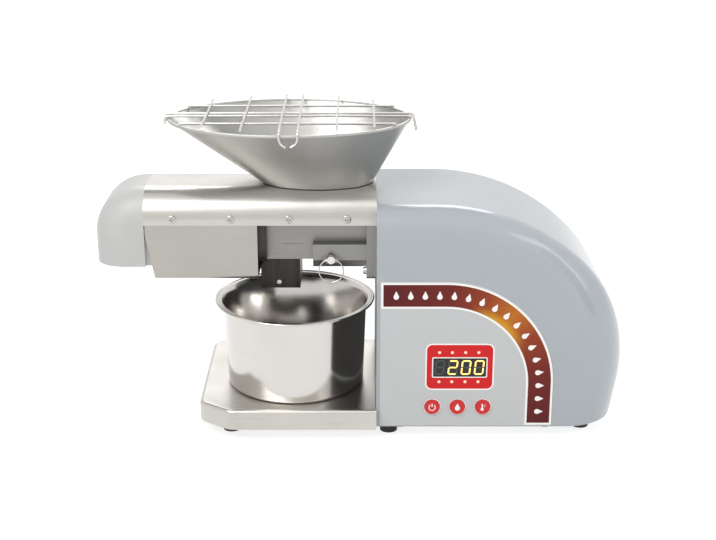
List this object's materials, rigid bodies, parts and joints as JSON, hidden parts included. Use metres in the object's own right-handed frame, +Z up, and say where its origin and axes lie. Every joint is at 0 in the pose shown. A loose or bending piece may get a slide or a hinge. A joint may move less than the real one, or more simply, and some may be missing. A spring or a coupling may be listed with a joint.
{
  "type": "screw oil press",
  "caption": "Home screw oil press: a hopper feeds a heated barrel whose screw a gear train turns; oil drains into a pot and cake leaves at the end.",
  "frame": {"origin": "centre of the bounding box's base, on the surface that the feet stand on", "axes": "+X from the cake outlet to the motor case's tail, -Y the side with the controls, +Z up"},
  "size_m": [0.4399, 0.157, 0.2604],
  "materials": {
    "satin_steel": "brushed stainless sheet",
    "polished_steel": "polished stainless",
    "machined_steel": "machined steel",
    "dark_steel": "heat-darkened steel",
    "case_paint": "gloss paint",
    "film": "printed film",
    "window": "smoked window",
    "red_plastic": "gloss",
    "grey_plastic": "satin",
    "black_plastic": "matt",
    "board": "laminate",
    "gear_steel": "hardened steel",
    "zinc": "zinc plate",
    "rubber": "matt",
    "brass": "turned"
  },
  "bodies": {
    "base": {"base_tray": "satin_steel", "rubber_feet": "rubber", "foot_screws": "zinc", "tray_bolts": "zinc", "case_shell": "case_paint", "case_floor": "zinc", "case_screws": "zinc", "panel_film": "film", "display_window": "window", "digit_module": "black_plastic", "display_board": "board", "tact_switches": "black_plastic", "mount_flange": "machined_steel", "flange_bolts": "zinc", "bearing_plate": "machined_steel", "motor_plate": "machined_steel", "gear_pillars": "machined_steel", "hub_bearings": "zinc", "thrust_bearing": "zinc", "layshaft_bearings": "zinc", "gear_motor": "dark_steel", "fan_frame": "black_plastic", "control_board": "board", "board_standoffs": "black_plastic", "board_components": "black_plastic", "power_inlet": "black_plastic", "lock_block": "machined_steel", "lock_spring": "gear_steel"},
    "arm": {"press_barrel": "machined_steel", "outlet_nozzle": "machined_steel", "heater_band": "dark_steel", "temperature_probe": "brass", "heater_shroud": "dark_steel", "upper_cover": "satin_steel", "lower_cover": "satin_steel", "cover_screws": "polished_steel", "weld_nuts": "zinc", "cover_lugs": "zinc", "oil_chute": "dark_steel", "chute_rivet": "polished_steel"},
    "end_cap": {"end_cap": "grey_plastic"},
    "hopper": {"hopper": "satin_steel"},
    "guard": {"guard_grid": "polished_steel"},
    "screw": {"press_screw": "machined_steel", "drive_hub": "machined_steel", "drive_gear": "gear_steel"},
    "layshaft": {"layshaft": "machined_steel", "layshaft_pinion": "gear_steel", "idler_gear": "gear_steel"},
    "motor_shaft": {"motor_shaft": "machined_steel", "motor_pinion": "gear_steel"},
    "fan": {"fan_rotor": "black_plastic"},
    "pin": {"lock_pin": "polished_steel"},
    "ring": {"pull_ring": "polished_steel"},
    "pot": {"oil_pot": "polished_steel"},
    "start_button": {"start_button": "red_plastic"},
    "oil_button": {"oil_button": "red_plastic"},
    "heat_button": {"heat_button": "red_plastic"},
    "rocker": {"power_rocker": "red_plastic"}
  },
  "joints": [
    {"name": "arm_release", "type": "slide", "parent": "base", "child": "arm", "axis": [-1, 0, 0], "range_m": [0, 0.185]},
    {"name": "end_cap_pull", "type": "slide", "parent": "arm", "child": "end_cap", "axis": [-1, 0, 0], "range_m": [0, 0.05]},
    {"name": "hopper_lift", "type": "slide", "parent": "arm", "child": "hopper", "axis": [0, 0, 1], "range_m": [0, 0.12]},
    {"name": "guard_lift", "type": "slide", "parent": "hopper", "child": "guard", "axis": [0, 0, 1], "range_m": [0, 0.06]},
    {"name": "screw_spin", "type": "hinge", "parent": "base", "child": "screw", "pos_m": [0.02, 0, 0.163], "axis": [1, 0, 0], "continuous": true},
    {"name": "layshaft_spin", "type": "hinge", "parent": "base", "child": "layshaft", "pos_m": [0.04, 0, 0.122], "axis": [1, 0, 0], "continuous": true},
    {"name": "motor_shaft_spin", "type": "hinge", "parent": "base", "child": "motor_shaft", "pos_m": [0.05, 0, 0.0845], "axis": [1, 0, 0], "continuous": true},
    {"name": "fan_spin", "type": "hinge", "parent": "base", "child": "fan", "pos_m": [0.11, 0.06, 0.116], "axis": [0, 1, 0], "continuous": true},
    {"name": "lock_pin_slide", "type": "slide", "parent": "base", "child": "pin", "axis": [0, -1, 0], "range_m": [-0.003, 0]},
    {"name": "pull_ring_swing", "type": "hinge", "parent": "pin", "child": "ring", "pos_m": [-0.026, -0.04, 0.146], "axis": [-1, 0, 0], "range_deg": [0, 90]},
    {"name": "pot_slide", "type": "slide", "parent": "base", "child": "pot", "axis": [0, -1, 0], "range_m": [0, 0.165]},
    {"name": "start_button_press", "type": "slide", "parent": "base", "child": "start_button", "axis": [0, 1, 0], "range_m": [0, 0.0008], "stiffness_N_per_m": 300},
    {"name": "oil_button_press", "type": "slide", "parent": "base", "child": "oil_button", "axis": [0, 1, 0], "range_m": [0, 0.0008], "stiffness_N_per_m": 300},
    {"name": "heat_button_press", "type": "slide", "parent": "base", "child": "heat_button", "axis": [0, 1, 0], "range_m": [0, 0.0008], "stiffness_N_per_m": 300},
    {"name": "power_rocker_tilt", "type": "hinge", "parent": "base", "child": "rocker", "pos_m": [0.21493, 0, 0.04625], "axis": [0, -1, 0], "range_deg": [0, 14]}
  ],
  "couplings": [
    {"joint": "layshaft_spin", "follows": "screw_spin", "ratio": -1.7333},
    {"joint": "motor_shaft_spin", "follows": "screw_spin", "ratio": 4.4571}
  ]
}
